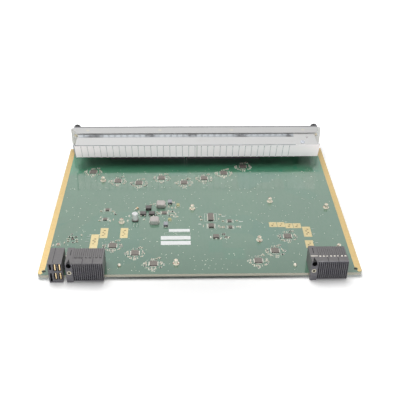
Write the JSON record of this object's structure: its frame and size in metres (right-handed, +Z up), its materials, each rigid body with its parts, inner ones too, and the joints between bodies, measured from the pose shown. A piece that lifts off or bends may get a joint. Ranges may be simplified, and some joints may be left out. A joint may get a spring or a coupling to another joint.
{
  "type": "switch line card",
  "caption": "Modular switch line card: circuit board with backplane connectors at one edge, shielded rows of network jacks, and a faceplate with ejector levers and thumbscrews.",
  "frame": {"origin": "under the middle of the card's outline, on the surface that it rests on", "axes": "+X to the right along the faceplate, +Y from the backplane connectors to the faceplate, +Z up from the component side"},
  "size_m": [0.3, 0.257, 0.0363],
  "materials": {
    "black_plastic": "black moulded plastic",
    "bright_screw": "bright plated fastener",
    "bush_metal": "nickel-plated bush",
    "can_metal": "bare drawn can",
    "chip_plastic": "moulded package",
    "clear_plastic": "clear moulded light pipe",
    "connector_plastic": "dark grey moulded plastic",
    "contact_metal": "gold-plated contact",
    "dark_epoxy": "dark epoxy",
    "ferrite": "moulded ferrite",
    "led_red": "small indicator",
    "paper": "blank paper label",
    "plated_sheet": "zinc-plated sheet, slightly stained",
    "solder_mask": "glossy green solder mask over the laminate",
    "spring_sheet": "bright spring sheet",
    "yellow_epoxy": "yellow epoxy"
  },
  "bodies": {
    "card": {"board_bracket_left": "plated_sheet", "board_bracket_right": "plated_sheet", "board_labels": "paper", "board_nuts": "bright_screw", "board_screws": "bright_screw", "bracket_rivets": "bright_screw", "capacitor_base": "chip_plastic", "capacitor_can": "can_metal", "clock_buffer": "chip_plastic", "driver_block": "chip_plastic", "faceplate": "plated_sheet", "finger_strip": "spring_sheet", "flange_rivets": "bright_screw", "flash_memory": "chip_plastic", "groove_gasket": "spring_sheet", "guide_bush_left": "bush_metal", "guide_bush_right": "bush_metal", "guide_module_left": "connector_plastic", "guide_module_right": "connector_plastic", "hood": "plated_sheet", "hood_nut": "bright_screw", "hood_screw": "bright_screw", "inductors": "ferrite", "jack_gang_left": "black_plastic", "jack_gang_right": "black_plastic", "key_module": "connector_plastic", "led_holder": "black_plastic", "lever_bracket_left": "plated_sheet", "lever_bracket_right": "plated_sheet", "lever_pin_left": "bright_screw", "lever_pin_right": "bright_screw", "light_pipes": "clear_plastic", "logic_chips": "chip_plastic", "main_board": "solder_mask", "oscillator": "chip_plastic", "port_chips": "chip_plastic", "power_blades": "contact_metal", "power_housing": "connector_plastic", "power_transistors": "chip_plastic", "round_posts": "bright_screw", "signal_housing_left": "connector_plastic", "signal_housing_right": "connector_plastic", "signal_wafers_left": "connector_plastic", "signal_wafers_right": "connector_plastic", "small_transistors": "chip_plastic", "status_led": "led_red", "switch_controller": "chip_plastic", "tantalum_capacitors": "dark_epoxy", "thumbscrew_ferrule_left": "bright_screw", "thumbscrew_ferrule_right": "bright_screw", "yellow_capacitors": "yellow_epoxy"},
    "left_thumbscrew": {"thumbscrew_knob_left": "black_plastic", "thumbscrew_shaft_left": "bright_screw"},
    "right_thumbscrew": {"thumbscrew_knob_right": "black_plastic", "thumbscrew_shaft_right": "bright_screw"},
    "left_lever": {"ejector_lever_left": "black_plastic"},
    "right_lever": {"ejector_lever_right": "black_plastic"}
  },
  "joints": [
    {"name": "left_thumbscrew_turn", "type": "hinge", "parent": "card", "child": "left_thumbscrew", "pos_m": [-0.1428, 0.1096, 0.0236], "axis": [0, 1, 0], "continuous": true},
    {"name": "right_thumbscrew_turn", "type": "hinge", "parent": "card", "child": "right_thumbscrew", "pos_m": [0.1428, 0.1096, 0.0236], "axis": [0, 1, 0], "continuous": true},
    {"name": "left_lever_swing", "type": "hinge", "parent": "card", "child": "left_lever", "pos_m": [-0.139, 0.1158, 0.0086], "axis": [0, 0, 1], "range_deg": [0, 55]},
    {"name": "right_lever_swing", "type": "hinge", "parent": "card", "child": "right_lever", "pos_m": [0.139, 0.1158, 0.0086], "axis": [0, 0, -1], "range_deg": [0, 55]}
  ]
}
